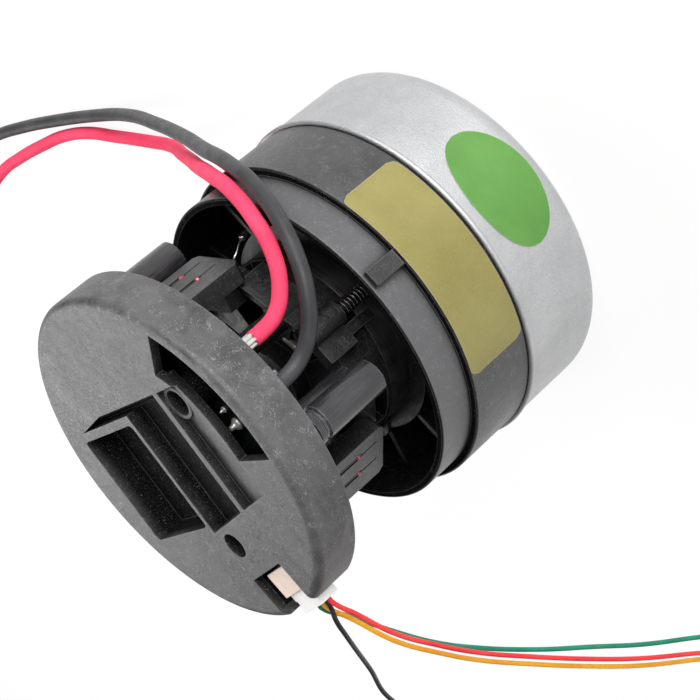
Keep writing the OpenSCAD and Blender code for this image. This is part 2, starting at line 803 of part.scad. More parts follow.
// Tinned strands of a supply lead, from the start of its route up to the board
module crimp(route) {
    strand_r = supply_d / 6;
    color("silver") translate(route[0]) linear_extrude(height = board_z - route[0][2]) {
        circle(r = supply_d / 4);
        for (i = [0 : 5]) rotate(15 + i * 60) translate([supply_d / 2 - strand_r - fit, 0])
            circle(r = strand_r, $fn = 24);
    }
}

// Screws that hold the cap
screw_seat_z = cap_z - screw_seat_d;
module cap_screws() {
    color([0.1, 0.1, 0.1]) at(cap_screw_dirs, cap_screw_ring)
        pan_screw(screw_seat_z, cap_screw_r, screw_seat_z - board_z + cap_screw_grip, head_hole_r - 3 * fit);
}

socket_low = -16;
socket_near = 4.9;
socket_side = 2.2;
socket_edge = 1.2;
socket_floor = 1;
slope_w = 2.1;
slope_end = 15.6;
slope_taper = 12.3;
socket_corner = 1.2;
screw_land = 0.9;
screw_land_r = head_hole_r + 0.8;
field_left = -16.9;
rib_far = -13.1;
pocket_x = header_in - 1;
pocket_w = 15.6;
pocket_y = connector_y - pocket_w / 2 + 0.3;
field_right = socket_low + socket_l + socket_side;
field_start = -window_in;
field_stop = socket_near - socket_edge;

// Rectangle with round corners
module round_rect(l, w, r) {
    translate([r, 0]) square([l - 2 * r, w]);
    translate([0, r]) square([l, w - 2 * r]);
    for (x = [r, l - r], y = [r, w - r]) translate([x, y]) circle(r = r, $fn = 32);
}

// Turns its children into the socket's own directions
module socket_frame() {
    rotate(socket_turn) children();
}

// Height of the sunk field along its ramp, lowered by a wall
function field_line(wall) = [[field_start, cap_z - wall], [rib_far - rib_t, cap_z - field_rib_d - wall],
    [field_stop, cap_z - field_d - wall]];

// Solid that a section in the socket's length direction sweeps across it
module across(from, to) {
    rotate([90, 0, 90]) translate([0, 0, from]) linear_extrude(height = to - from) children();
}

// Sunk field: a ramp from the window down to the rib and on to the socket, with a slope at its
// right-hand end and the land of a screw hole standing in it
module sunk_field() {
    difference() {
        field_hollow();
        at(cap_screw_dirs, cap_screw_ring, skirt_z) cylinder(r = screw_land_r, h = cap_h - screw_land);
    }
}

module field_hollow() {
    intersection() {
        socket_frame() linear_extrude(height = cap_z + 1) polygon([[-2 * cap_r, field_start],
            [field_right + slope_w, field_start], [field_right + slope_w, slope_end],
            [field_right, slope_end + slope_taper], [field_right, field_stop],
            [-2 * cap_r, field_stop]]);
        socket_frame() across(-2 * cap_r, cap_r) polygon(concat([[field_start, cap_z + 1]],
            field_line(0), [[cap_r, cap_z - field_d], [cap_r, cap_z + 1]]));
        socket_frame() rotate([90, 0, 0]) translate([0, 0, -cap_r]) linear_extrude(height = 2 * cap_r)
            polygon([[-2 * cap_r, skirt_z], [field_right, skirt_z], [field_right, cap_z - field_d],
                [field_right + slope_w, cap_z], [field_right + slope_w, cap_z + 1],
                [-2 * cap_r, cap_z + 1]]);
        translate([field_left, -cap_r, skirt_z]) cube([2 * cap_r, 2 * cap_r, 2 * cap_h]);
    }
}

// Cap: plate with skirt, socket, sunk field with a rib, arc window and connector opening
module controller_cap() {
    inner_r = cap_r - cap_wall;
    color([0.2, 0.2, 0.21]) difference() {
        union() {
            difference() {
                union() {
                    // plate and skirt
                    rotate_extrude() difference() {
                        union() {
                            translate([0, skirt_z]) square([cap_r - cap_edge, cap_h]);
                            translate([0, skirt_z]) square([cap_r, cap_h - cap_edge]);
                            translate([cap_r - cap_edge, cap_z - cap_edge]) circle(r = cap_edge, $fn = 32);
                        }
                        translate([-1, skirt_z - 1]) square([inner_r + 1, cap_h - cap_t + 1]);
                    }
                    // material under the socket and the sunk field
                    intersection() {
                        translate([0, 0, skirt_z]) cylinder(r = inner_r + cap_wall / 2, h = cap_h);
                        socket_frame() {
                            translate([socket_low - socket_side, field_stop,
                                cap_z - socket_d - socket_floor]) cube([socket_l + 2 * socket_side,
                                socket_w + 2 * socket_edge + 1, socket_d]);
                            across(socket_low - 3 * socket_side, field_right + slope_w + cap_t)
                                polygon(concat(field_line(cap_t), [[field_stop, plate_z + 1],
                                    [field_start, plate_z + 1]]));
                            translate([field_right, field_stop - 1, cap_z - field_d - cap_t])
                                cube([slope_w + cap_t, slope_end + slope_taper - field_stop, field_d]);
                        }
                    }
                    // screw bosses
                    at(cap_screw_dirs, cap_screw_ring, board_top)
                        cylinder(r = screw_land_r, h = plate_z - board_top + 0.5);
                }
                sunk_field();
                // socket
                socket_frame() translate([socket_low, socket_near, cap_z - socket_d])
                    linear_extrude(height = socket_d + 1) round_rect(socket_l, socket_w, socket_corner);
            }
            // rib across the field
            intersection() {
                socket_frame() translate([-cap_r, rib_far - rib_t, cap_z - field_d])
                    cube([cap_r + field_right + slope_w, rib_t, field_d]);
                translate([field_left - 1, -cap_r, skirt_z]) cube([2 * cap_r, 2 * cap_r, cap_h]);
            }
        }
        // arc window
        rotate(window_dir - window_angle / 2) rotate_extrude(angle = window_angle)
            translate([window_in, skirt_z - 1]) square([window_out - window_in, cap_h + 2]);
        // opening for the connector at the rim
        translate([-2 * cap_r, pocket_y, skirt_z - 1]) cube([2 * cap_r - pocket_x, pocket_w, cap_h + 2]);
        // screw holes
        at(cap_screw_dirs, cap_screw_ring, board_top - 1) {
            cylinder(r = cap_screw_r + 0.4, h = cap_h);
            translate([0, 0, screw_seat_z - board_top + 1]) cylinder(r = head_hole_r, h = cap_h);
        }
    }
}

// Routes of the leads, from the motor to their ends
RED_ROUTE = [[8, -32.5, 77.5], [8, -32.5, 75], [8.8, -33.3, 70.5], [12.5, -34.5, 66], [19, -35.5, 62.5],
    [27, -33.5, 59.5], [34.5, -27, 55.5], [41, -14.5, 49.5], [46.5, 4, 40], [51.5, 25, 28.5],
    [57, 46.5, 17], [63.5, 66, 7], [70.5, 82, 2.4], [78.5, 94.5, 1.8], [85.5, 105, 1.8], [91, 117, 1.8],
    [95.3, 131.7, 1.8], [99, 147, 1.8], [101.7, 162, 1.8], [102, 180, 1.8], [100, 197, 1.8]];
BLACK_ROUTE = [[-2.2, -33, 83], [-2.2, -33, 78.5], [-1.2, -34.5, 73.5], [2, -38, 69.5], [7.5, -40.8, 66],
    [14.5, -41.5, 62.5], [22.5, -39.5, 58.8], [31.5, -33.5, 54.3], [40, -21.5, 48.5], [48.5, -1, 39],
    [56.5, 21, 28], [66.5, 46, 17], [78, 74, 6.5], [87, 96, 2.2], [95.5, 115, 1.8], [103, 133, 1.8],
    [109, 150, 1.8], [113, 167, 1.8], [115, 184, 1.8], [115, 200, 1.8]];
SIGNAL_RED_ROUTE = [[-42.4, -3.5, 88.7], [-43.6, -3.5, 88.7], [-49, -3.2, 86.2], [-57.5, -2, 82],
    [-66.5, 1, 74.5], [-74.5, 4.5, 66.5], [-83.5, 7, 56.5], [-93, 7.5, 46], [-102, 8.5, 35],
    [-112, 9.5, 21], [-121, 8.5, 9.5], [-128, 3.5, 2.2], [-131, -8, 1.6], [-137, -23, 1.6],
    [-150, -32, 1.6], [-165, -35.5, 1.8], [-174.6, -36, 2]];
SIGNAL_YELLOW_ROUTE = [[-42.4, 0.5, 88.7], [-43.6, 0.5, 88.7], [-49.2, 0.8, 86], [-59.4, 2.2, 81],
    [-68.5, 5, 73.5], [-76.5, 8.5, 65.5], [-85.5, 11, 55.5], [-95, 11.5, 45], [-104, 12.5, 34],
    [-113.8, 13.2, 20], [-121.8, 11.8, 9], [-129.5, 6, 2.1], [-133, -5, 1.6], [-139, -20, 1.6],
    [-151, -29, 1.6], [-165, -33, 1.8], [-174.6, -34, 2]];
SIGNAL_GREEN_ROUTE = [[-42.4, 2.5, 88.7], [-43.6, 2.5, 88.7], [-49, 3.4, 84.7], [-58, 5, 78.5],
    [-66.5, 7.5, 71.5], [-74, 9, 64], [-84, 8.5, 53], [-92.5, 7, 42.5], [-100, 6.5, 33],
    [-108.5, 6, 20.5], [-117, 5, 8.5], [-124.5, 0, 2], [-128.5, -11, 1.6], [-135.5, -26, 1.6],
    [-149, -35, 1.6], [-165, -38, 1.8], [-174.6, -38, 2]];
SIGNAL_BLACK_ROUTE = [[-42.4, -1.5, 88.7], [-43.6, -1.5, 88.7], [-47.5, 1, 88.8], [-51.5, 5, 87.5],
    [-56, 11.5, 85], [-62.5, 21.5, 81], [-72, 34, 76.5], [-84, 42, 69], [-97, 44, 59],
    [-109, 41.5, 47], [-120, 36, 34], [-129.5, 28, 20], [-137.5, 18.5, 8.5], [-144.5, 7, 2.1],
    [-150.5, -8, 1.6], [-156, -21.5, 1.6], [-165.5, -30.5, 1.8], [-174.6, -32, 2]];

function unit(v) = v / norm(v);
function clip(i, n) = max(0, min(n, i));
function tangent(p, i) = unit(p[clip(i + 1, len(p) - 1)] - p[clip(i - 1, len(p) - 1)]);

// Tube of round section swept along a route, with one ring at each of its points
module tube(route, d, sides, side) {
    n = len(route);
    points = [for (i = [0 : n - 1]) let (t = tangent(route, i), u = unit(cross(t, side)),
        w = cross(t, u)) for (k = [0 : sides - 1])
        route[i] + d / 2 * (cos(k * 360 / sides) * u + sin(k * 360 / sides) * w)];
    walls = [for (i = [0 : n - 2], k = [0 : sides - 1]) let (a = i * sides + k,
        b = i * sides + (k + 1) % sides) each [[a, b + sides, b], [a, a + sides, b + sides]]];
    first = [for (k = [0 : sides - 1]) k];
    last = [for (k = [0 : sides - 1]) n * sides - 1 - k];
    polyhedron(points = points, faces = concat(walls, [first, last]), convexity = 4);
}

// Places its children at the end of a route, with X along the route's last stretch
module at_end(route) {
    n = len(route);
    run = route[n - 1] - route[n - 2];
    translate(route[n - 1]) rotate([0, 0, atan2(run[1], run[0])]) children();
}

// Stripped and tinned end of a supply lead
module lead_tip(route) {
    color("silver") at_end(route) rotate([0, 90, 0]) cylinder(r = supply_d / 2 - 0.5, h = 6);
}

end_x = SIGNAL_RED_ROUTE[len(SIGNAL_RED_ROUTE) - 1][0];
end_z = SIGNAL_RED_ROUTE[len(SIGNAL_RED_ROUTE) - 1][2];
end_y = -35;

// Plug at the far ends of the signal leads, lying on the surface
module end_plug() {
    length = 8;
    color("white") translate([end_x - length, end_y - header_w / 2, 0]) difference() {
        union() {
            cube([length, header_w, plug_h]);
            translate([1, header_w / 2 - 1.5, plug_h - eps]) cube([length - 3, 3, 0.8]);
        }
        for (i = [0 : 3]) translate([-1, header_w / 2 + (i - 1.5) * pin_pitch - contact_hole / 2,
            end_z - contact_hole / 2]) cube([length + 2, contact_hole, contact_hole]);
    }
}

// Four contacts inside the end plug
module end_contacts() {
    color("silver") for (i = [0 : 3]) translate([end_x, end_y + (i - 1.5) * pin_pitch, end_z])
        mirror([1, 0, 0]) contact(6.5, 3);
}

supply_side = [0.5, -0.5, 0.7];
signal_side = [0.3, 0.5, -0.8];

module red_lead() color([0.93, 0.2, 0.38]) tube(RED_ROUTE, supply_d, 8, supply_side);
module black_lead() color([0.15, 0.15, 0.16]) tube(BLACK_ROUTE, supply_d, 8, supply_side);
module signal_red() color([0.9, 0.2, 0.25]) tube(SIGNAL_RED_ROUTE, signal_d, 8, signal_side);
module signal_yellow() color([0.95, 0.65, 0.1]) tube(SIGNAL_YELLOW_ROUTE, signal_d, 8, signal_side);
module signal_green() color([0.05, 0.4, 0.3]) tube(SIGNAL_GREEN_ROUTE, signal_d, 8, signal_side);
module signal_black() color([0.12, 0.12, 0.13]) tube(SIGNAL_BLACK_ROUTE, signal_d, 8, signal_side);

fan_cover();
impeller();
impeller_blades();
impeller_shroud();
impeller_nut();
spacer_sleeve();
diffuser();
diffuser_vanes();
housing();
stator_vanes();
motor_hub();
bearing_outer(front_bearing_z);  // front_bearing_outer
bearing_inner(front_bearing_z);  // front_bearing_inner
bearing_balls(front_bearing_z);  // front_bearing_balls
stator_core();
lower_insulator();
upper_insulator();
coil(post_dirs[0]);  // coil_1
coil(post_dirs[1]);  // coil_2
coil(post_dirs[2]);  // coil_3
shaft();
rotor_magnet();
lower_balance_ring();
upper_balance_ring();
motor_frame();
terminal_posts();
bearing_outer(rear_bearing_z);  // rear_bearing_outer
bearing_inner(rear_bearing_z);  // rear_bearing_inner
bearing_balls(rear_bearing_z);  // rear_bearing_balls
preload_washer();
frame_screws();
circuit_board();
power_switches();
control_chips();
capacitor(0);  // capacitor_1
capacitor(1);  // capacitor_2
capacitor(2);  // capacitor_3
board_header();
header_pins();
signal_plug();
plug_contacts();
crimp(RED_ROUTE);  // red_crimp
crimp(BLACK_ROUTE);  // black_crimp
controller_cap();
cap_screws();
red_lead();
black_lead();
signal_red();
signal_black();
signal_yellow();
signal_green();
lead_tip(RED_ROUTE);  // red_lead_tip
lead_tip(BLACK_ROUTE);  // black_lead_tip
end_plug();
end_contacts();
winding_ends();
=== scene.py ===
import json
import math

import bpy
from mathutils import Matrix, Vector


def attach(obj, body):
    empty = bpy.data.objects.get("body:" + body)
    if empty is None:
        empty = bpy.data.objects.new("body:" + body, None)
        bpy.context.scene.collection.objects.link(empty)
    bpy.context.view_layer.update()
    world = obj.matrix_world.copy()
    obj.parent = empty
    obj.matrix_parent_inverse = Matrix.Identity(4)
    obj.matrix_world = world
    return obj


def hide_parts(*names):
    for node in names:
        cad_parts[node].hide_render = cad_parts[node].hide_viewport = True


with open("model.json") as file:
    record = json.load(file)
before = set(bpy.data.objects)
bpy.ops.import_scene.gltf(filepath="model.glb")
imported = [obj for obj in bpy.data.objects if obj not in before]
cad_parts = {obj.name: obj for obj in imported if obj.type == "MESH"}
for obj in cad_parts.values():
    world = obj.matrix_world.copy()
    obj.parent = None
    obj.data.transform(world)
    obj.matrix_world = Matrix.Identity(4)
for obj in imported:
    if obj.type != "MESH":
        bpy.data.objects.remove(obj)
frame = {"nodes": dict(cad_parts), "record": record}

MM = 0.001
NODES = frame["nodes"]
scene = bpy.context.scene
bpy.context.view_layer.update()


# Highest x, y and z of a CAD node, in millimetres
def high(name):
    node = NODES[name]
    corners = [node.matrix_world @ Vector(corner) for corner in node.bound_box]
    return [max(corner[axis] for corner in corners) / MM for axis in range(3)]


# Radii and heights of the motor that looks and small pieces follow, in millimetres
RING_INSET = 0.3
COLLAR_INSET = 2.1
RING_HEIGHT = 17.6
COLLAR_HEIGHT = 9.4
RING_RADIUS = high("housing")[0]
COVER_RADIUS = RING_RADIUS + RING_INSET
COLLAR_RADIUS = COVER_RADIUS - COLLAR_INSET
RIM_TOP = high("housing")[2]
STEP_TOP = RIM_TOP - COLLAR_HEIGHT
COVER_TOP = STEP_TOP - RING_HEIGHT
BOARD_TOP = high("circuit_board")[2]
CAP_TOP = high("controller_cap")[2]

# Camera at the photograph's place, rolled as the motor lay in the picture
CAMERA_PLACE = (-0.006364, -0.403985, 0.271719)
CAMERA_TILT = math.radians(60.576)
CAMERA_ROLL = math.radians(-131.006)
FOCAL_LENGTH = 108
SENSOR_WIDTH = 36


def add_object(name, data):
    item = bpy.data.objects.new(name, data)
    scene.collection.objects.link(item)
    return item


lens = bpy.data.cameras.new("camera")
lens.lens = FOCAL_LENGTH
lens.sensor_width = SENSOR_WIDTH
lens.clip_start = 0.01
lens.clip_end = 20
camera = add_object("camera", lens)
camera.matrix_world = (
    Matrix.Translation(CAMERA_PLACE)
    @ Matrix.Rotation(CAMERA_TILT, 4, "X")
    @ Matrix.Rotation(CAMERA_ROLL, 4, "Z")
)
scene.camera = camera

# Cord routes, the same points as in the CAD source, in millimetres
ROUTES = {
    "red_lead": [
        (8, -32.5, 77.5), (8, -32.5, 75), (8.8, -33.3, 70.5), (12.5, -34.5, 66),
        (19, -35.5, 62.5), (27, -33.5, 59.5), (34.5, -27, 55.5), (41, -14.5, 49.5),
        (46.5, 4, 40), (51.5, 25, 28.5), (57, 46.5, 17), (63.5, 66, 7), (70.5, 82, 2.4),
        (78.5, 94.5, 1.8), (85.5, 105, 1.8), (91, 117, 1.8), (95.3, 131.7, 1.8), (99, 147, 1.8),
        (101.7, 162, 1.8), (102, 180, 1.8), (100, 197, 1.8)],
    "black_lead": [
        (-2.2, -33, 83), (-2.2, -33, 78.5), (-1.2, -34.5, 73.5), (2, -38, 69.5),
        (7.5, -40.8, 66), (14.5, -41.5, 62.5), (22.5, -39.5, 58.8), (31.5, -33.5, 54.3),
        (40, -21.5, 48.5), (48.5, -1, 39), (56.5, 21, 28), (66.5, 46, 17), (78, 74, 6.5),
        (87, 96, 2.2), (95.5, 115, 1.8), (103, 133, 1.8), (109, 150, 1.8), (113, 167, 1.8),
        (115, 184, 1.8), (115, 200, 1.8)],
    "signal_red": [
        (-42.4, -3.5, 88.7), (-43.6, -3.5, 88.7), (-49, -3.2, 86.2), (-57.5, -2, 82),
        (-66.5, 1, 74.5), (-74.5, 4.5, 66.5), (-83.5, 7, 56.5), (-93, 7.5, 46), (-102, 8.5, 35),
        (-112, 9.5, 21), (-121, 8.5, 9.5), (-128, 3.5, 2.2), (-131, -8, 1.6), (-137, -23, 1.6),
        (-150, -32, 1.6), (-165, -35.5, 1.8), (-174.6, -36, 2)],
    "signal_yellow": [
        (-42.4, 0.5, 88.7), (-43.6, 0.5, 88.7), (-49.2, 0.8, 86), (-59.4, 2.2, 81),
        (-68.5, 5, 73.5), (-76.5, 8.5, 65.5), (-85.5, 11, 55.5), (-95, 11.5, 45),
        (-104, 12.5, 34), (-113.8, 13.2, 20), (-121.8, 11.8, 9), (-129.5, 6, 2.1),
        (-133, -5, 1.6), (-139, -20, 1.6), (-151, -29, 1.6), (-165, -33, 1.8), (-174.6, -34, 2)],
    "signal_green": [
        (-42.4, 2.5, 88.7), (-43.6, 2.5, 88.7), (-49, 3.4, 84.7), (-58, 5, 78.5),
        (-66.5, 7.5, 71.5), (-74, 9, 64), (-84, 8.5, 53), (-92.5, 7, 42.5), (-100, 6.5, 33),
        (-108.5, 6, 20.5), (-117, 5, 8.5), (-124.5, 0, 2), (-128.5, -11, 1.6),
        (-135.5, -26, 1.6), (-149, -35, 1.6), (-165, -38, 1.8), (-174.6, -38, 2)],
    "signal_black": [
        (-42.4, -1.5, 88.7), (-43.6, -1.5, 88.7), (-47.5, 1, 88.8), (-51.5, 5, 87.5),
        (-56, 11.5, 85), (-62.5, 21.5, 81), (-72, 34, 76.5), (-84, 42, 69), (-97, 44, 59),
        (-109, 41.5, 47), (-120, 36, 34), (-129.5, 28, 20), (-137.5, 18.5, 8.5),
        (-144.5, 7, 2.1), (-150.5, -8, 1.6), (-156, -21.5, 1.6), (-165.5, -30.5, 1.8),
        (-174.6, -32, 2)],
}

SUPPLY_DIAMETER = 0.0035
SIGNAL_DIAMETER = 0.0011


# A cord as a round tube through its route, in place of its CAD node.
# The knots carry the tube's radius, so that the curve's bound box fits it.
def cord(name, diameter):
    points = ROUTES[name]
    data = bpy.data.curves.new(name + "_curve", "CURVE")
    data.dimensions = "3D"
    data.resolution_u = 12
    data.bevel_depth = 1
    data.bevel_resolution = 6
    data.use_fill_caps = True
    spline = data.splines.new("BEZIER")
    spline.bezier_points.add(len(points) - 1)
    for knot, point in zip(spline.bezier_points, points):
        knot.co = [v * MM for v in point]
        knot.radius = diameter / 2
        knot.handle_left_type = knot.handle_right_type = "AUTO"
    piece = add_object(name + "_cord", data)
    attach(piece, "motor")
    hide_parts(name)
    return piece


CORDS = {}
for colour in ("red", "black"):
    name = colour + "_lead"
    CORDS[name] = cord(name, SUPPLY_DIAMETER)
for colour in ("red", "yellow", "green", "black"):
    name = "signal_" + colour
    CORDS[name] = cord(name, SIGNAL_DIAMETER)


def rgb(r, g, b):
    return (r, g, b, 1.0)


def grey(level):
    return rgb(level, level, level)


# A material's nodes. Inputs take a value or another node's output.
class Nodes:
    def __init__(self, name):
        self.material = bpy.data.materials.new(name)
        self.material.use_nodes = True
        self.tree = self.material.node_tree
        self.shader = self.tree.nodes["Principled BSDF"]
        self.place = self.add("ShaderNodeTexCoord").outputs["Object"]

    def put(self, socket, value):
        if isinstance(value, bpy.types.NodeSocket):
            self.tree.links.new(value, socket)
        else:
            socket.default_value = value

    def fill(self, node, inputs):
        for key, value in inputs.items():
            self.put(node.inputs[key.replace("_", " ")], value)

    def add(self, kind, **inputs):
        node = self.tree.nodes.new(kind)
        self.fill(node, inputs)
        return node

    def set(self, **inputs):
        self.fill(self.shader, inputs)

    def stretch(self, x, y, z):
        return self.add("ShaderNodeMapping", Vector=self.place, Scale=(x, y, z)).outputs["Vector"]

    def noise(self, scale, detail=3.0, roughness=0.5, distortion=0.0, vector=None):
        node = self.add("ShaderNodeTexNoise", Scale=scale, Detail=detail, Roughness=roughness,
                        Distortion=distortion, Vector=vector or self.place)
        return node.outputs["Fac"]

    def cells(self, scale):
        return self.add("ShaderNodeTexVoronoi", Scale=scale, Vector=self.place).outputs["Distance"]

    # A value's range from low to high, drawn out to the range from start to end
    def remap(self, value, low, high, start=0.0, end=1.0):
        node = self.add("ShaderNodeMapRange", Value=value, From_Min=low, From_Max=high,
                        To_Min=start, To_Max=end)
        return node.outputs["Result"]

    def mix(self, factor, a, b):
        node = self.tree.nodes.new("ShaderNodeMix")
        node.data_type = "RGBA"
        self.put(node.inputs[0], factor)
        self.put(node.inputs[6], a)
        self.put(node.inputs[7], b)
        return node.outputs[2]

    def math(self, operation, a, b=0.0):
        node = self.tree.nodes.new("ShaderNodeMath")
        node.operation = operation
        self.put(node.inputs[0], a)
        self.put(node.inputs[1], b)
        return node.outputs[0]

    def times(self, a, b):
        return self.math("MULTIPLY", a, b)

    def plus(self, a, b):
        return self.math("ADD", a, b)

    def minus(self, a, b):
        return self.math("SUBTRACT", a, b)

    # What a cover leaves of a share
    def outside(self, share, cover):
        return self.times(share, self.minus(1.0, cover))

    # A shade laid over a colour where a mask is open
    def tint(self, colour, mask, strength, shade):
        return self.mix(self.times(mask, strength), colour, shade)

    def band(self, value, middle, width):
        apart = self.math("ABSOLUTE", self.minus(value, middle))
        return self.remap(apart, width, width * 0.4)

    def bump(self, height, strength, distance, normal=None):
        node = self.add("ShaderNodeBump", Height=height, Strength=strength, Distance=distance)
        if normal is not None:
            self.put(node.inputs["Normal"], normal)
        return node.outputs["Normal"]

    def open_share(self, distance):
        node = self.add("ShaderNodeAmbientOcclusion", Distance=distance)
        node.samples = 8
        return node.outputs["AO"]

    def height(self):
        node = self.tree.nodes.new("ShaderNodeSeparateXYZ")
        self.put(node.inputs[0], self.place)
        return node.outputs["Z"]

    def vector_math(self, operation, *values):
        node = self.tree.nodes.new("ShaderNodeVectorMath")
        node.operation = operation
        for socket, value in zip(node.inputs, values):
            self.put(socket, value)
        return node

    # Distance from the shaft's axis
    def radius(self):
        flat = self.vector_math("MULTIPLY", self.place, (1, 1, 0)).outputs["Vector"]
        return self.vector_math("LENGTH", flat).outputs["Value"]

    def bevel(self, radius):
        node = self.add("ShaderNodeBevel", Radius=radius)
        node.samples = 4
        return node.outputs["Normal"]

    # Where the rounded normal turns away from the flat one; it marks worn edges in some materials
    # and a painted highlight in others
    def edge_wear_and_highlight(self, rounded):
        flat = self.tree.nodes.new("ShaderNodeNewGeometry").outputs["True Normal"]
        facing = self.vector_math("DOT_PRODUCT", rounded, flat).outputs["Value"]
        return self.remap(facing, 0.995, 0.9)


# How far the looks round the edges, in metres
THICK_EDGE = 0.0003
SLEEVE_EDGE = 0.0002
SHEET_EDGE = 0.00018
FINE_EDGE = 0.00015

# The housing's collar above its step, tinted lighter as a painted sheen; its darker tab; and dark
# lines at the joint of its ring and cover, at the step as painted shade, and at the rim top
COLLAR_PAINTED_SHEEN = rgb(0.11, 0.11, 0.115)
SEAM_AND_SHADE_LINES = (COVER_TOP + 0.2, STEP_TOP + 0.1, RIM_TOP)
SEAM_AND_SHADE_WIDTH = 0.4


def collar_marks_and_painted_light(m, colour, share):
    height, radius = m.height(), m.radius()
    # Painted sheen: the collar above the step is tinted lighter than the ring below it
    collar = m.remap(height, (STEP_TOP - 0.1) * MM, (STEP_TOP + 0.3) * MM)
    colour = m.tint(colour, collar, 0.6, COLLAR_PAINTED_SHEEN)
    tab = m.times(m.remap(radius, (COLLAR_RADIUS + 0.3) * MM, (COLLAR_RADIUS + 0.6) * MM),
                  m.remap(height, (STEP_TOP + 0.4) * MM, (STEP_TOP + 0.7) * MM))
    share = m.outside(share, m.times(tab, 0.6))
    # Dark lines that darken the colour and dim the sheen: at the joint of ring and cover, painted
    # shade at the step, and at the rim top
    for line_height in SEAM_AND_SHADE_LINES:
        share = m.outside(share, m.band(height, line_height * MM, SEAM_AND_SHADE_WIDTH * MM))
    return colour, share


# The shade in the cap's socket and field, deeper down from the face
WELL_RADIUS = 39.4
WELL_DEPTH = 2.8


def well_shade(m, colour, share):
    start = CAP_TOP - 0.1
    inside = m.times(m.remap(m.radius(), WELL_RADIUS * MM, (WELL_RADIUS - 0.3) * MM),
                     m.remap(m.height(), start * MM, (start - WELL_DEPTH) * MM, 0, 0.94))
    return colour, m.outside(share, inside)


# Moulded black plastic with flow marks, dust, flecks and fine threads, and painted shade in its
# corners and recesses.
# recess is the reach of the shade in corners, the open shares between which it fades,
# and what it leaves in the darkest corner.
def filled_nylon(name, dark, light, speck, roughness, flow, specks, sheen, crackle=0.3,
                 recess=(0.02, 0.25, 0.85, 0), relief=0.4, marks=None):
    m = Nodes(name)
    rounded = m.bevel(THICK_EDGE)
    broad = m.remap(m.noise(55, 5, 0.6, 1.2), 0.36, 0.66)
    patches = m.remap(m.noise(170, 4, 0.66, 0.8), 0.45, 0.62)
    colour = m.tint(dark, broad, flow, light)
    colour = m.tint(colour, patches, 0.4 * flow, light)

    reach, shut, clear, least = recess
    share = m.remap(m.open_share(reach), shut, clear, least, 1)
    if marks:
        colour, share = marks(m, colour, share)
    # Painted shade: the colour goes to near black where little around a point is open, and the
    # sheen dims with it
    colour = m.mix(share, grey(0.004), colour)

    dust = m.remap(m.noise(4200, 2, 0.75), 0.54, 0.7)
    threads = m.times(m.band(m.noise(800, 2, 0.5, 1.2), 0.5, 0.03),
                      m.remap(m.noise(450, 2), 0.55, 0.6))
    flecks = m.times(m.remap(m.cells(2300), 0.24, 0.12), m.remap(m.noise(600, 2), 0.55, 0.62))
    for mask, strength in ((dust, 0.22 * specks), (m.times(threads, share), 0.45 * specks),
                           (flecks, specks), (m.edge_wear_and_highlight(rounded), 0.25)):
        colour = m.tint(colour, mask, strength, speck)

    grain = m.noise(1300, 4, 0.7)
    waves = m.noise(190, 4, 0.6, 1.0)
    network = m.band(m.noise(650, 4, 0.7, 1.0), 0.5, 0.05)
    cracks = m.times(m.times(network, patches), crackle)
    texture = m.minus(m.plus(grain, m.times(waves, 1.2)), cracks)
    mottled = m.plus(m.times(broad, 0.4), m.times(grain, 0.6))
    m.set(Base_Color=colour,
          Roughness=m.remap(mottled, 0.2, 0.8, roughness - 0.1, roughness + 0.12),
          Specular_IOR_Level=m.times(share, sheen),
          Normal=m.bump(texture, relief, 0.0003, rounded))
    return m.material


# Drawn sheet with a satin coat, fine grit, a few pits and faint scratches
def satin_cover():
    m = Nodes("satin_cover")
    cloud = m.remap(m.noise(70, 4, 0.6), 0.3, 0.7)
    grit = m.remap(m.noise(2600, 3, 0.75), 0.4, 0.62)
    pits = m.times(m.remap(m.cells(1500), 0.14, 0.05), m.remap(m.noise(420, 1), 0.53, 0.6))
    scratch = m.remap(m.noise(260, 2, 0.5, 0.8, m.stretch(4, 0.3, 0.6)), 0.66, 0.72)
    colour = m.mix(cloud, rgb(0.52, 0.525, 0.53), rgb(0.64, 0.643, 0.65))
    colour = m.tint(colour, grit, 0.45, rgb(0.42, 0.42, 0.43))
    colour = m.tint(colour, pits, 0.8, grey(0.2))
    colour = m.tint(colour, scratch, 0.15, rgb(0.85, 0.85, 0.86))
    rings = m.noise(900, 3, 0.6, vector=m.stretch(0.12, 0.12, 1.6))
    height = m.minus(m.plus(m.times(rings, 0.4), m.times(grit, 1.2)), m.times(pits, 0.8))
    m.set(Base_Color=colour, Metallic=1.0,
          Roughness=m.remap(m.noise(500, 3), 0.3, 0.7, 0.5, 0.6),
          Normal=m.bump(height, 0.28, 0.0001))
    return m.material


def plain_metal(name, a, b, roughness, grain=(1, 1, 1), strength=0.06):
    m = Nodes(name)
    lines = m.noise(1400, 3, 0.6, vector=m.stretch(*grain))
    m.set(Base_Color=m.mix(m.remap(lines, 0.3, 0.7), a, b), Metallic=1.0,
          Roughness=m.remap(m.noise(300, 3), 0.3, 0.7, roughness - 0.06, roughness + 0.08),
          Normal=m.bump(lines, strength, 0.0001, m.bevel(FINE_EDGE)))
    return m.material


def silicone(name, a, b, roughness=0.36, dust=0.08, gloss=0.3):
    m = Nodes(name)
    colour = m.mix(m.remap(m.noise(110, 4, 0.6), 0.35, 0.65), a, b)
    colour = m.tint(colour, m.remap(m.cells(1400), 0.1, 0.04), dust, rgb(0.7, 0.68, 0.66))
    m.set(Base_Color=colour, Specular_IOR_Level=gloss,
          Roughness=m.remap(m.noise(380, 3), 0.3, 0.7, roughness - 0.06, roughness + 0.08),
          Normal=m.bump(m.noise(900, 3, 0.6), 0.12, 0.0001))
    return m.material


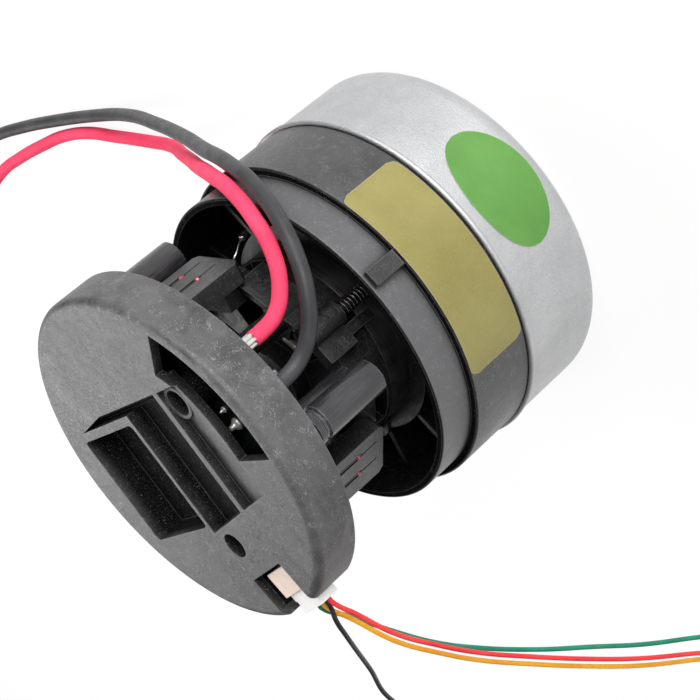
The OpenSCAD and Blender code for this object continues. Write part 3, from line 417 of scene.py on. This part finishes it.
def moulded(name, a, b, roughness, relief=0.08, metallic=0.0):
    m = Nodes(name)
    rounded = m.bevel(FINE_EDGE)
    colour = m.mix(m.remap(m.noise(200, 4), 0.3, 0.7), a, b)
    colour = m.tint(colour, m.edge_wear_and_highlight(rounded), 0.2, rgb(0.9, 0.9, 0.88))
    m.set(Base_Color=colour, Metallic=metallic,
          Roughness=m.remap(m.noise(400, 3), 0.3, 0.7, roughness - 0.08, roughness + 0.08),
          Normal=m.bump(m.noise(1200, 3), relief, 0.0001, rounded))
    return m.material


# Shrunk sleeve of a capacitor, with lighter stripes along it as a painted sheen and a painted
# highlight on its rounded edges
def shrink_sleeve():
    m = Nodes("shrink_sleeve")
    rounded = m.bevel(SLEEVE_EDGE)
    wave = m.noise(300, 2, 0.5, vector=m.stretch(1, 1, 0.3))
    sheen_streaks = m.remap(m.noise(700, 3, 0.6, vector=m.stretch(1, 1, 0.12)), 0.44, 0.6)
    colour = m.mix(m.remap(wave, 0.3, 0.7), rgb(0.012, 0.012, 0.014), rgb(0.028, 0.028, 0.03))
    # Painted sheen: lighter stripes along the sleeve
    colour = m.tint(colour, sheen_streaks, 0.12, rgb(0.12, 0.12, 0.125))
    # Painted highlight on the sleeve's rounded edges
    colour = m.tint(colour, m.edge_wear_and_highlight(rounded), 0.7, rgb(0.3, 0.3, 0.31))
    m.set(Base_Color=colour, Roughness=m.remap(sheen_streaks, 0, 1, 0.2, 0.28),
          Normal=m.bump(m.plus(wave, sheen_streaks), 0.14, 0.0002, rounded),
          Coat_Weight=0.3, Coat_Roughness=0.12)
    return m.material


def circuit_resist():
    m = Nodes("circuit_resist")
    traces = m.remap(m.noise(500, 1, 0.5, vector=m.stretch(1, 0.15, 1)), 0.49, 0.52)
    m.set(Base_Color=m.tint(rgb(0.008, 0.01, 0.009), traces, 0.5, rgb(0.03, 0.034, 0.03)),
          Roughness=0.3, Normal=m.bump(traces, 0.15, 0.00005), Coat_Weight=0.4)
    return m.material


def winding():
    m = Nodes("winding")
    wave = m.add("ShaderNodeTexWave", Vector=m.place, Scale=300, Distortion=0.6)
    wave.bands_direction = "Z"
    turns = wave.outputs["Fac"]
    m.set(Base_Color=m.mix(turns, rgb(0.2, 0.045, 0.018), rgb(0.62, 0.2, 0.08)),
          Metallic=0.6, Roughness=0.34, Normal=m.bump(turns, 0.6, 0.0003))
    return m.material


# Winding ends, dark above and red below the bend, with paler pink patches on the red as painted
# highlights
ENAMEL_BEND = 70.6


def wire_enamel():
    m = Nodes("wire_enamel")
    bend = m.remap(m.height(), ENAMEL_BEND * MM, (ENAMEL_BEND - 0.4) * MM)
    painted_glints = m.remap(m.noise(900, 3, 0.6), 0.5, 0.64)
    # Paler pink patches on the red are painted highlights
    red = m.mix(painted_glints, rgb(0.22, 0.01, 0.03), rgb(0.6, 0.3, 0.32))
    m.set(Base_Color=m.mix(bend, rgb(0.006, 0.005, 0.005), red),
          Roughness=m.remap(painted_glints, 0, 1, 0.25, 0.4))
    return m.material


# Bare foil and bare paper for the two sheets, each with a painted highlight along its rim
def foil():
    m = Nodes("gold_foil")
    grain = m.noise(2400, 2, 0.6)
    colour = m.mix(m.remap(m.noise(60, 4, 0.6), 0.35, 0.65),
                   rgb(0.22, 0.192, 0.055), rgb(0.275, 0.242, 0.076))
    colour = m.mix(m.remap(grain, 0.55, 0.75, 0, 0.3), colour, rgb(0.4, 0.36, 0.16))
    # Painted highlight along the foil's rim
    colour = m.tint(colour, m.edge_wear_and_highlight(m.bevel(SHEET_EDGE)), 0.6, rgb(0.72, 0.7, 0.5))
    m.set(Base_Color=colour, Metallic=0.1,
          Roughness=m.remap(m.noise(500, 3), 0.3, 0.7, 0.3, 0.42),
          Normal=m.bump(m.plus(m.noise(130, 3), m.times(grain, 0.1)), 0.08, 0.0002))
    return m.material


def green_paper():
    m = Nodes("green_paper")
    fibre = m.noise(1800, 3, 0.7)
    colour = m.mix(m.remap(m.noise(90, 4, 0.6), 0.35, 0.65),
                   rgb(0.081, 0.235, 0.039), rgb(0.107, 0.277, 0.053))
    # Painted highlight along the paper's rim
    colour = m.tint(colour, m.edge_wear_and_highlight(m.bevel(SHEET_EDGE)), 0.5, rgb(0.5, 0.7, 0.42))
    m.set(Base_Color=colour, Roughness=m.remap(fibre, 0.3, 0.7, 0.38, 0.5),
          Normal=m.bump(m.plus(m.noise(140, 2), m.times(fibre, 0.2)), 0.1, 0.0002))
    return m.material


# Materials by the record's slots, and those of single nodes
MATERIALS = {
    "black_nylon": filled_nylon(
        "black_nylon", rgb(0.006, 0.006, 0.007), rgb(0.022, 0.022, 0.023), grey(0.34),
        roughness=0.36, flow=0.6, specks=0.35, sheen=0.8),
    "grey_nylon": filled_nylon(
        "grey_nylon", rgb(0.027, 0.026, 0.027), rgb(0.108, 0.105, 0.108), grey(0.45),
        roughness=0.45, flow=0.8, specks=0.6, sheen=0.6, crackle=0.8,
        recess=(0.018, 0.5, 0.98, 0.35), relief=0.32, marks=well_shade),
    "cover_metal": satin_cover(),
    "fan_metal": plain_metal("fan_metal", rgb(0.6, 0.6, 0.61), rgb(0.7, 0.7, 0.71), 0.32),
    "steel": plain_metal("steel", rgb(0.48, 0.48, 0.49), rgb(0.62, 0.62, 0.63), 0.26),
    "black_steel": plain_metal("black_steel", grey(0.03), rgb(0.08, 0.08, 0.085), 0.35),
    "core_steel": plain_metal("core_steel", rgb(0.14, 0.14, 0.15), rgb(0.3, 0.3, 0.31), 0.4,
                              grain=(0.1, 0.1, 3), strength=0.4),
    "magnet": plain_metal("magnet", rgb(0.12, 0.12, 0.13), rgb(0.2, 0.2, 0.21), 0.35),
    "brass": plain_metal("brass", rgb(0.6, 0.42, 0.16), rgb(0.75, 0.56, 0.25), 0.3),
    "tin": plain_metal("tin", rgb(0.62, 0.61, 0.58), rgb(0.82, 0.81, 0.78), 0.26,
                       grain=(1, 1, 3), strength=0.3),
    "copper": winding(),
    "enamel": wire_enamel(),
    "board": circuit_resist(),
    "sleeve": shrink_sleeve(),
    "chip": moulded("chip", grey(0.012), grey(0.025), 0.5),
    "header": moulded("header", rgb(0.76, 0.6, 0.51), rgb(0.86, 0.7, 0.61), 0.42),
    "plug": moulded("plug", rgb(0.86, 0.85, 0.83), rgb(0.95, 0.94, 0.92), 0.42),
    "red_silicone": silicone("red_silicone", rgb(0.84, 0.05, 0.12), rgb(0.9, 0.07, 0.15),
                             roughness=0.7, gloss=0.15),
    "black_silicone": silicone("black_silicone", rgb(0.032, 0.032, 0.034),
                               rgb(0.052, 0.052, 0.055), roughness=0.45, dust=0.15, gloss=0.27),
    "red_wire": silicone("red_wire", rgb(0.68, 0.02, 0.03), rgb(0.82, 0.05, 0.05)),
    "yellow_wire": silicone("yellow_wire", rgb(0.86, 0.36, 0.012), rgb(0.92, 0.48, 0.02)),
    "green_wire": silicone("green_wire", rgb(0.006, 0.16, 0.09), rgb(0.012, 0.26, 0.15)),
    "black_wire": silicone("black_wire", rgb(0.012, 0.012, 0.013), rgb(0.03, 0.03, 0.032)),
}
OWN_MATERIALS = {
    "housing": filled_nylon(
        "housing_nylon", rgb(0.016, 0.016, 0.017), rgb(0.055, 0.055, 0.058), grey(0.4),
        roughness=0.38, flow=0.6, specks=0.4, sheen=0.8, crackle=0.2,
        recess=(0.035, 0.3, 0.85, 0), marks=collar_marks_and_painted_light),
    "motor_frame": filled_nylon(
        "frame_nylon", rgb(0.005, 0.005, 0.006), grey(0.02), grey(0.35),
        roughness=0.36, flow=0.7, specks=0.3, sheen=0.65, crackle=0.8),
    "cap_screws": plain_metal("screw_steel", grey(0.2), grey(0.34), 0.25),
}
THREAD_STEEL = plain_metal("thread_steel", grey(0.16), grey(0.34), 0.2)
SOLDER = moulded("solder", rgb(0.5, 0.5, 0.48), rgb(0.85, 0.84, 0.8), 0.25, 0.4, 0.45)

node_slots = {part["node"]: part["material_slot"] for part in frame["record"]["subparts"]}
for name, node in NODES.items():
    for holder in node.material_slots:
        holder.material = OWN_MATERIALS.get(name, MATERIALS[node_slots[name]])
for name, piece in CORDS.items():
    piece.data.materials.append(MATERIALS[node_slots[name]])


def polar(radius, angle, z):
    return (radius * math.cos(angle), radius * math.sin(angle), z)


def mesh_piece(name, points, faces, material, smooth=True):
    mesh = bpy.data.meshes.new(name)
    mesh.from_pydata([[v * MM for v in p] for p in points], [], faces)
    mesh.validate()
    for face in mesh.polygons:
        face.use_smooth = smooth
    piece = add_object(name, mesh)
    piece.data.materials.append(material)
    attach(piece, "motor")
    return piece


SHEET_LIFT = 0.12
SHEET_THICKNESS = 0.1


# A thin sheet glued round the motor, as a grid whose columns follow an outline.
# turn is the direction of its middle in degrees, arc its width along the surface.
def wrapped_sheet(name, surface, turn, arc, low, top, outline, material):
    columns, rows = 72, 8
    radius = surface + SHEET_LIFT
    points, faces = [], []
    for i in range(columns + 1):
        s = (2 * i / columns - 1) * arc / 2
        down, up = outline(s, arc, top - low)
        for j in range(rows + 1):
            points.append(polar(radius, math.radians(turn) + s / radius,
                                low + down + (up - down) * j / rows))
    for i in range(columns):
        for j in range(rows):
            a = i * (rows + 1) + j
            faces.append((a, a + rows + 1, a + rows + 2, a + 1))
    piece = mesh_piece(name, points, faces, material)
    solid = piece.modifiers.new("thickness", "SOLIDIFY")
    solid.thickness = SHEET_THICKNESS * MM
    solid.offset = -1
    crisp = piece.modifiers.new("crisp_rim", "EDGE_SPLIT")
    crisp.split_angle = math.radians(30)


# Lower and upper edge of a sheet at a place s along its width
def rounded_outline(s, width, height, corner=2):
    inside = max(0.0, abs(s) - (width / 2 - corner))
    cut = corner - math.sqrt(max(0.0, corner * corner - inside * inside))
    return cut, height - cut


def oval_outline(s, width, height):
    least = 0.02
    half = max(least, height / 2 * math.sqrt(max(0.0, 1 - (2 * s / width) ** 2)))
    return height / 2 - half, height / 2 + half


wrapped_sheet("rating_plate", RING_RADIUS, turn=-97.85, arc=48.9,
              low=COVER_TOP + 0.8, top=STEP_TOP - 0.25,
              outline=rounded_outline, material=foil())
wrapped_sheet("oval_sticker", COVER_RADIUS, turn=-91.5, arc=30, low=4.7, top=22.6,
              outline=oval_outline, material=green_paper())


# A closed rod through points, with a radius at each of them
def rod(name, path, radii, material, sides=20, smooth=True):
    points, faces = [], []
    path = [Vector(p) for p in path]
    for i, (middle, radius) in enumerate(zip(path, radii)):
        along = path[min(i + 1, len(path) - 1)] - path[max(i - 1, 0)]
        turn = along.to_track_quat("Z", "Y")
        for k in range(sides):
            angle = 2 * math.pi * (k + 0.5) / sides
            points.append(middle + turn @ Vector(polar(radius, angle, 0)))
        if i:
            for k in range(sides):
                a, b = (i - 1) * sides + k, (i - 1) * sides + (k + 1) % sides
                faces.append((a, b, b + sides, a + sides))
    faces.append(tuple(range(sides))[::-1])
    faces.append(tuple(range(len(points) - sides, len(points))))
    mesh_piece(name, points, faces, material, smooth)


# Thread on the bare length of the frame's screws. Its profile gives radii, and rises as
# shares of the pitch.
SCREW_RING = 25.4
SCREW_TURNS = (-87, 33, 153)
THREAD_LOW = STEP_TOP + 1.4
THREAD_HIGH = RIM_TOP + 0.8
THREAD_PITCH = 1.0
THREAD_ROOT = 1.44
THREAD_CREST = 1.86
THREAD_PROFILE = ((THREAD_ROOT, -0.34), (THREAD_CREST, -0.08),
                  (THREAD_CREST, 0.08), (THREAD_ROOT, 0.34))


def thread(name, x, y):
    per_turn = 24
    count = round((THREAD_HIGH - THREAD_LOW) / THREAD_PITCH * per_turn)
    points, faces = [], []
    for i in range(count + 1):
        z = THREAD_LOW + (THREAD_HIGH - THREAD_LOW) * i / count
        for radius, rise in THREAD_PROFILE:
            px, py, pz = polar(radius, 2 * math.pi * i / per_turn, z + rise * THREAD_PITCH)
            points.append((x + px, y + py, pz))
    for i in range(count):
        for k in range(4):
            a, b = i * 4 + k, i * 4 + (k + 1) % 4
            faces.append((a, a + 4, b + 4, b))
    last = len(points) - 1
    faces += [(0, 1, 2, 3), (last, last - 1, last - 2, last - 3)]
    mesh_piece(name, points, faces, THREAD_STEEL, False)


for index, turn in enumerate(SCREW_TURNS):
    x, y, _ = polar(SCREW_RING, math.radians(turn), 0)
    thread("frame_screw_thread_%d" % (index + 1), x, y)

# Soldered pins on the board, seen through the cap's window: place, radius and height,
# with a profile of shares of the height and the radius
SOLDER_JOINTS = ((-2.6, -19.1, 1.5, 2.2), (1.3, -18.8, 0.8, 1.3), (5.2, -18.3, 0.8, 1.3))
SOLDER_PROFILE = ((0, 1), (0.12, 0.98), (0.3, 0.72), (0.5, 0.45), (0.9, 0.38), (1, 0.16))
SOLDER_SINK = 0.02
for index, (x, y, size, rise) in enumerate(SOLDER_JOINTS):
    rod("solder_joint_%d" % (index + 1),
        [(x, y, BOARD_TOP - SOLDER_SINK + rise * z) for z, r in SOLDER_PROFILE],
        [size * r for z, r in SOLDER_PROFILE], SOLDER)

# Tag of a winding end below the post, with its wire
TAG_PATH = ((27.2, -14.9, 52.7), (27.1, -15.0, 52.9), (26.5, -15.8, 54.9), (26.4, -15.9, 55.1))
TAG_WIRE_PATH = ((26.4, -15.9, 55), (25.9, -16.6, 56.6), (24.9, -17.2, 58.4), (24.1, -17.3, 60.4))
rod("winding_tag", TAG_PATH, (0.55, 0.8, 0.8, 0.55), MATERIALS["tin"], 4, False)
rod("winding_tag_wire", TAG_WIRE_PATH, (0.2, 0.2, 0.2, 0.2), MATERIALS["tin"], 10)

# Clip round the rear bearing's seat
CLIP_RADIUS = 11.02
CLIP_HEIGHT = 59.6
clip_path = [polar(CLIP_RADIUS, math.radians(turn), CLIP_HEIGHT) for turn in range(-84, -63, 2)]
rod("seat_clip", clip_path, [0.6] + [0.8] * (len(clip_path) - 2) + [0.6], SOLDER, 12)


# Pale floor that the camera sees nearly white, while it keeps the object's shadow
FLOOR_HALF = 0.7
FLOOR_DROP = 0.0001
FLOOR_GLOW = 1.03
FLOOR_GLOW_SHARE = 0.88


def floor_material():
    m = Nodes("floor")
    path = m.tree.nodes.new("ShaderNodeLightPath").outputs
    seen = m.math("MAXIMUM", path["Is Camera Ray"], path["Is Glossy Ray"])
    seen = m.math("MAXIMUM", seen, path["Is Transmission Ray"])
    glow = m.add("ShaderNodeEmission", Color=grey(1), Strength=FLOOR_GLOW)
    blend = m.tree.nodes.new("ShaderNodeMixShader")
    m.set(Base_Color=grey(0.82), Roughness=0.9, Specular_IOR_Level=0.1)
    m.put(blend.inputs[0], m.times(seen, FLOOR_GLOW_SHARE))
    m.put(blend.inputs[1], m.shader.outputs["BSDF"])
    m.put(blend.inputs[2], glow.outputs["Emission"])
    m.put(m.tree.nodes["Material Output"].inputs["Surface"], blend.outputs[0])
    return m.material


corners = [(x * FLOOR_HALF, y * FLOOR_HALF, 0) for x, y in ((-1, -1), (1, -1), (1, 1), (-1, 1))]
mesh = bpy.data.meshes.new("floor")
mesh.from_pydata(corners, [], [(0, 1, 2, 3)])
floor = add_object("floor", mesh)
floor.location = (0, 0, -FLOOR_DROP)
floor.data.materials.append(floor_material())

# World that is white to the camera and lights the object softly
WORLD_LIGHT = 0.2
world = bpy.data.worlds.new("world")
scene.world = world
world.use_nodes = True
tree = world.node_tree
ambient = tree.nodes["Background"]
ambient.inputs["Color"].default_value = grey(1)
ambient.inputs["Strength"].default_value = WORLD_LIGHT
white = tree.nodes.new("ShaderNodeBackground")
white.inputs["Color"].default_value = grey(1)
white.inputs["Strength"].default_value = 1
path = tree.nodes.new("ShaderNodeLightPath")
blend = tree.nodes.new("ShaderNodeMixShader")
tree.links.new(path.outputs["Is Camera Ray"], blend.inputs[0])
tree.links.new(ambient.outputs[0], blend.inputs[1])
tree.links.new(white.outputs[0], blend.inputs[2])
tree.links.new(blend.outputs[0], tree.nodes["World Output"].inputs["Surface"])


# A round area lamp at a place, turned to the point that it aims at
def lamp(name, place, size, power, aim=(0, 0, 0.05)):
    data = bpy.data.lights.new(name, "AREA")
    data.shape = "DISK"
    data.size = size
    data.energy = power
    light = add_object(name, data)
    light.location = place
    light.rotation_euler = (Vector(place) - Vector(aim)).to_track_quat("Z", "Y").to_euler()


lamp("key", (0.45, -0.88, 0.23), 1, 17)
lamp("sheen", (0.1, 0.42, 0.29), 0.32, 0.72, aim=(0, 0, 0.1))
lamp("top", (0.3, 0.3, 0.85), 0.6, 4.5)
lamp("front", (-0.15, -0.75, 0.55), 0.6, 1.2)
lamp("side", (-0.9, -0.4, 0.3), 0.6, 1.2)

scene.view_settings.view_transform = "Standard"
